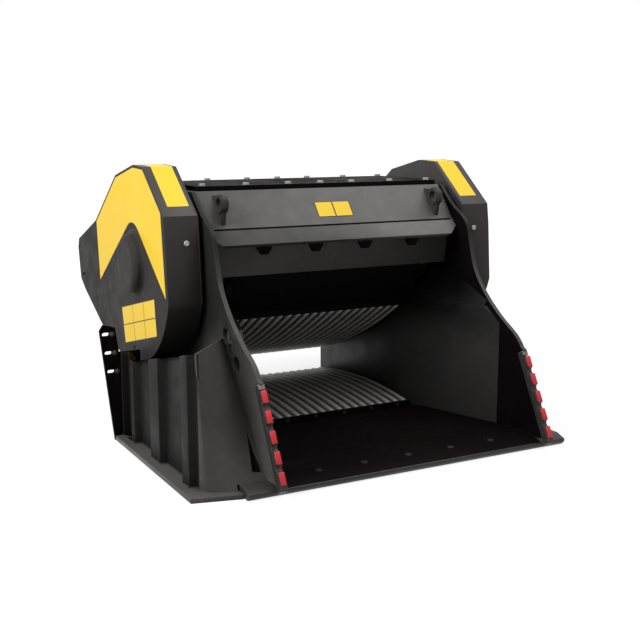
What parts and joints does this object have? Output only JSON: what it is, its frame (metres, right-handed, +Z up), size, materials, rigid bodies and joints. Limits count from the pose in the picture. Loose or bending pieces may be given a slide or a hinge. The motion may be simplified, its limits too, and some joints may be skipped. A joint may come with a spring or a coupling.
{
  "type": "jaw crusher bucket",
  "caption": "Jaw crusher bucket for an excavator: a toothed mouth feeds two ribbed jaws that an eccentric shaft drives, with belt casings at its sides and an outlet at the back.",
  "frame": {"origin": "on the ground, midway between the side plates and near the middle of the bucket's length", "axes": "+X to the right of one who looks into the mouth from the front, +Y from the mouth to the outlet, +Z up"},
  "size_m": [1.797, 1.948, 1.157],
  "materials": {
    "black_paint": "satin black paint, rubbed grey along its edges",
    "casing_paint": "semi-gloss black paint on sheet steel",
    "edge_steel": "black paint worn to steel on the lip",
    "tooth_red": "satin red paint, chipped at the corners",
    "jaw_steel": "manganese steel, worn bright on the ribs",
    "casting": "rough casting under thin black paint",
    "machined_steel": "turned steel, lightly oiled",
    "bearing_steel": "ground bearing steel",
    "bronze": "machined bronze",
    "bolt_steel": "zinc plate, dulled",
    "belt_rubber": "black belt rubber",
    "label_yellow": "yellow film",
    "label_grey": "grey film"
  },
  "bodies": {
    "frame": {"side_plate_left": "black_paint", "side_plate_right": "black_paint", "base_plate": "black_paint", "floor_plate": "black_paint", "side_shell_left": "black_paint", "side_guard_right": "black_paint", "corner_panel": "black_paint", "wing_plate_left": "black_paint", "end_plate_right": "black_paint", "top_beam": "black_paint", "beam_tabs": "black_paint", "lift_lugs": "black_paint", "coupler_plate": "black_paint", "apron_plate": "black_paint", "cheek_plate_left": "black_paint", "cheek_plate_right": "black_paint", "rear_beam": "black_paint", "rear_cover": "black_paint", "jaw_bed": "black_paint", "fixed_jaw_clamp": "black_paint", "hydraulic_motor": "black_paint", "port_block": "black_paint", "bearing_housing_left": "black_paint", "bearing_housing_right": "black_paint", "casing_left": "casing_paint", "casing_right": "casing_paint", "casing_back_left": "casing_paint", "casing_back_right": "casing_paint", "hub_dome_left": "casing_paint", "hub_dome_right": "casing_paint", "cutting_edge": "edge_steel", "side_cutter_left": "edge_steel", "side_cutter_right": "edge_steel", "tooth_caps": "tooth_red", "fixed_jaw": "jaw_steel", "toggle_block": "casting", "shim_pack": "machined_steel", "tension_rods": "machined_steel", "spring_cups": "machined_steel", "main_bearing_left": "bearing_steel", "main_bearing_right": "bearing_steel", "edge_bolts": "bolt_steel", "wing_bolts": "bolt_steel", "coupler_bolts": "bolt_steel", "cheek_bolts": "bolt_steel", "clamp_bolts": "bolt_steel", "casing_bolts": "bolt_steel", "drive_belts": "belt_rubber"},
    "shaft": {"eccentric_shaft": "machined_steel", "flywheel_left": "casting", "flywheel_right": "casting", "hub_caps": "machined_steel"},
    "jaw": {"swing_jaw": "casting", "jaw_webs": "casting", "jaw_head": "casting", "moving_jaw": "jaw_steel", "moving_jaw_clamp": "black_paint", "jaw_bushes": "bronze"},
    "pulley": {"motor_pulley": "casting"},
    "toggle": {"toggle_plate": "machined_steel"}
  },
  "joints": [
    {"name": "shaft_spin", "type": "hinge", "parent": "frame", "child": "shaft", "pos_m": [0, 0.075, 0.745], "axis": [1, 0, 0], "continuous": true},
    {"name": "jaw_orbit", "type": "hinge", "parent": "shaft", "child": "jaw", "pos_m": [0, 0.075, 0.737], "axis": [1, 0, 0], "continuous": true},
    {"name": "pulley_spin", "type": "hinge", "parent": "frame", "child": "pulley", "pos_m": [0, 0.807, 0.668], "axis": [1, 0, 0], "continuous": true},
    {"name": "toggle_swing", "type": "hinge", "parent": "frame", "child": "toggle", "pos_m": [0, 0.56483, 0.57665], "axis": [1, 0, 0], "range_deg": [-2, 2], "stiffness_Nm_per_rad": 5000}
  ],
  "couplings": [
    {"joint": "jaw_orbit", "follows": "shaft_spin", "ratio": -1},
    {"joint": "pulley_spin", "follows": "shaft_spin", "ratio": 3}
  ]
}
